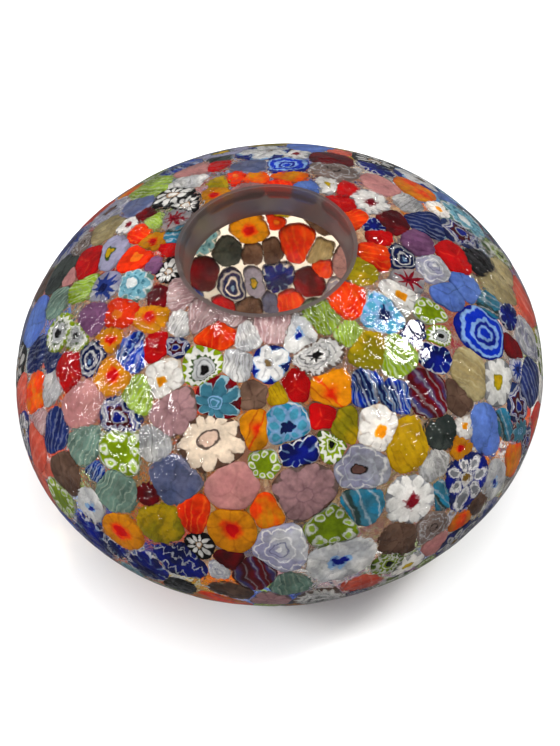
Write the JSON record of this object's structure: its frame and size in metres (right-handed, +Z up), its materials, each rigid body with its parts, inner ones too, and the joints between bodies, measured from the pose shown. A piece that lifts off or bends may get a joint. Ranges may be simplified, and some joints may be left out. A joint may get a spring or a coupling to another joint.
{
  "type": "art glass bowl",
  "caption": "Squat blown millefiori glass bowl: a small cut mouth, a clear casing and gather, and a mosaic of coloured cane slices between them, on a ground flat base.",
  "frame": {"origin": "centre of the ground flat base, on the surface that the bowl stands on", "axes": "+Z up along the bowl's axis; the side that the picture shows faces -Y"},
  "size_m": [0.13, 0.13, 0.0785],
  "materials": {
    "gather_glass": "polished, faint warm smoky tint",
    "casing_glass": "fire polished, softly rippled over the murrine; satin ground at the mouth and base",
    "cane_red": "opaque and translucent coloured cane, red",
    "cane_dark_red": "opaque and translucent coloured cane, dark red",
    "cane_coral": "opaque and translucent coloured cane, coral",
    "cane_red_orange_core": "opaque and translucent coloured cane, red orange core",
    "cane_orange": "opaque and translucent coloured cane, orange",
    "cane_amber_red_core": "opaque and translucent coloured cane, amber red core",
    "cane_orange_yellow": "opaque and translucent coloured cane, orange yellow",
    "cane_yellow": "opaque and translucent coloured cane, yellow",
    "cane_yellow_olive": "opaque and translucent coloured cane, yellow olive",
    "cane_yellow_red_tulip": "opaque and translucent coloured cane, yellow red tulip",
    "cane_lime_white": "opaque and translucent coloured cane, lime white",
    "cane_lime_ribbed": "opaque and translucent coloured cane, lime ribbed",
    "cane_green_white_spiky": "opaque and translucent coloured cane, green white spiky",
    "cane_green_white_star": "opaque and translucent coloured cane, green white star",
    "cane_teal_ribbed": "opaque and translucent coloured cane, teal ribbed",
    "cane_turquoise_white_lobes": "opaque and translucent coloured cane, turquoise white lobes",
    "cane_turquoise": "opaque and translucent coloured cane, turquoise",
    "cane_aqua_flower_dark_red": "opaque and translucent coloured cane, aqua flower dark red",
    "cane_aqua_white_flower": "opaque and translucent coloured cane, aqua white flower",
    "cane_light_blue_lobed": "opaque and translucent coloured cane, light blue lobed",
    "cane_slate_blue_lobed": "opaque and translucent coloured cane, slate blue lobed",
    "cane_blue_striped": "opaque and translucent coloured cane, blue striped",
    "cane_navy_ribbed": "opaque and translucent coloured cane, navy ribbed",
    "cane_navy_zigzag": "opaque and translucent coloured cane, navy zigzag",
    "cane_navy_lobed": "opaque and translucent coloured cane, navy lobed",
    "cane_blue_bullseye": "opaque and translucent coloured cane, blue bullseye",
    "cane_navy_white_rings": "opaque and translucent coloured cane, navy white rings",
    "cane_blue_white_petals": "opaque and translucent coloured cane, blue white petals",
    "cane_blue_white_cross": "opaque and translucent coloured cane, blue white cross",
    "cane_blue_white_star": "opaque and translucent coloured cane, blue white star",
    "cane_blue_spiky": "opaque and translucent coloured cane, blue spiky",
    "cane_purple": "opaque and translucent coloured cane, purple",
    "cane_pink": "opaque and translucent coloured cane, pink",
    "cane_pink_flower": "opaque and translucent coloured cane, pink flower",
    "cane_pink_ribbed": "opaque and translucent coloured cane, pink ribbed",
    "cane_lavender_rings": "opaque and translucent coloured cane, lavender rings",
    "cane_lavender_yellow_core": "opaque and translucent coloured cane, lavender yellow core",
    "cane_cream_flower": "opaque and translucent coloured cane, cream flower",
    "cane_white_daisy_yellow_core": "opaque and translucent coloured cane, white daisy yellow core",
    "cane_white_daisy_orange_core": "opaque and translucent coloured cane, white daisy orange core",
    "cane_white_daisy_red_core": "opaque and translucent coloured cane, white daisy red core",
    "cane_black_white_daisy": "opaque and translucent coloured cane, black white daisy",
    "cane_white_spiky_black_star": "opaque and translucent coloured cane, white spiky black star",
    "cane_white_blue_core": "opaque and translucent coloured cane, white blue core",
    "cane_white_ribbed": "opaque and translucent coloured cane, white ribbed",
    "cane_cream_ribbed": "opaque and translucent coloured cane, cream ribbed",
    "cane_grey_brown_core": "opaque and translucent coloured cane, grey brown core",
    "cane_grey_ring_flower": "opaque and translucent coloured cane, grey ring flower",
    "cane_smoke": "opaque and translucent coloured cane, smoke",
    "cane_dark_smoke": "opaque and translucent coloured cane, dark smoke",
    "cane_dark_red_star": "opaque and translucent coloured cane, dark red star",
    "cane_dark_red_blue_stripes": "opaque and translucent coloured cane, dark red blue stripes",
    "cane_black": "opaque and translucent coloured cane, black"
  },
  "bodies": {
    "root": {"inner_gather": "gather_glass", "murrine_red": "cane_red", "murrine_dark_red": "cane_dark_red", "murrine_coral": "cane_coral", "murrine_red_orange_core": "cane_red_orange_core", "murrine_orange": "cane_orange", "murrine_amber_red_core": "cane_amber_red_core", "murrine_orange_yellow": "cane_orange_yellow", "murrine_yellow": "cane_yellow", "murrine_yellow_olive": "cane_yellow_olive", "murrine_yellow_red_tulip": "cane_yellow_red_tulip", "murrine_lime_white": "cane_lime_white", "murrine_lime_ribbed": "cane_lime_ribbed", "murrine_green_white_spiky": "cane_green_white_spiky", "murrine_green_white_star": "cane_green_white_star", "murrine_teal_ribbed": "cane_teal_ribbed", "murrine_turquoise_white_lobes": "cane_turquoise_white_lobes", "murrine_turquoise": "cane_turquoise", "murrine_aqua_flower_dark_red": "cane_aqua_flower_dark_red", "murrine_aqua_white_flower": "cane_aqua_white_flower", "murrine_light_blue_lobed": "cane_light_blue_lobed", "murrine_slate_blue_lobed": "cane_slate_blue_lobed", "murrine_blue_striped": "cane_blue_striped", "murrine_navy_ribbed": "cane_navy_ribbed", "murrine_navy_zigzag": "cane_navy_zigzag", "murrine_navy_lobed": "cane_navy_lobed", "murrine_blue_bullseye": "cane_blue_bullseye", "murrine_navy_white_rings": "cane_navy_white_rings", "murrine_blue_white_petals": "cane_blue_white_petals", "murrine_blue_white_cross": "cane_blue_white_cross", "murrine_blue_white_star": "cane_blue_white_star", "murrine_blue_spiky": "cane_blue_spiky", "murrine_purple": "cane_purple", "murrine_pink": "cane_pink", "murrine_pink_flower": "cane_pink_flower", "murrine_pink_ribbed": "cane_pink_ribbed", "murrine_lavender_rings": "cane_lavender_rings", "murrine_lavender_yellow_core": "cane_lavender_yellow_core", "murrine_cream_flower": "cane_cream_flower", "murrine_white_daisy_yellow_core": "cane_white_daisy_yellow_core", "murrine_white_daisy_orange_core": "cane_white_daisy_orange_core", "murrine_white_daisy_red_core": "cane_white_daisy_red_core", "murrine_black_white_daisy": "cane_black_white_daisy", "murrine_white_spiky_black_star": "cane_white_spiky_black_star", "murrine_white_blue_core": "cane_white_blue_core", "murrine_white_ribbed": "cane_white_ribbed", "murrine_cream_ribbed": "cane_cream_ribbed", "murrine_grey_brown_core": "cane_grey_brown_core", "murrine_grey_ring_flower": "cane_grey_ring_flower", "murrine_smoke": "cane_smoke", "murrine_dark_smoke": "cane_dark_smoke", "murrine_dark_red_star": "cane_dark_red_star", "murrine_dark_red_blue_stripes": "cane_dark_red_blue_stripes", "murrine_black": "cane_black", "outer_casing": "casing_glass"}
  },
  "joints": []
}
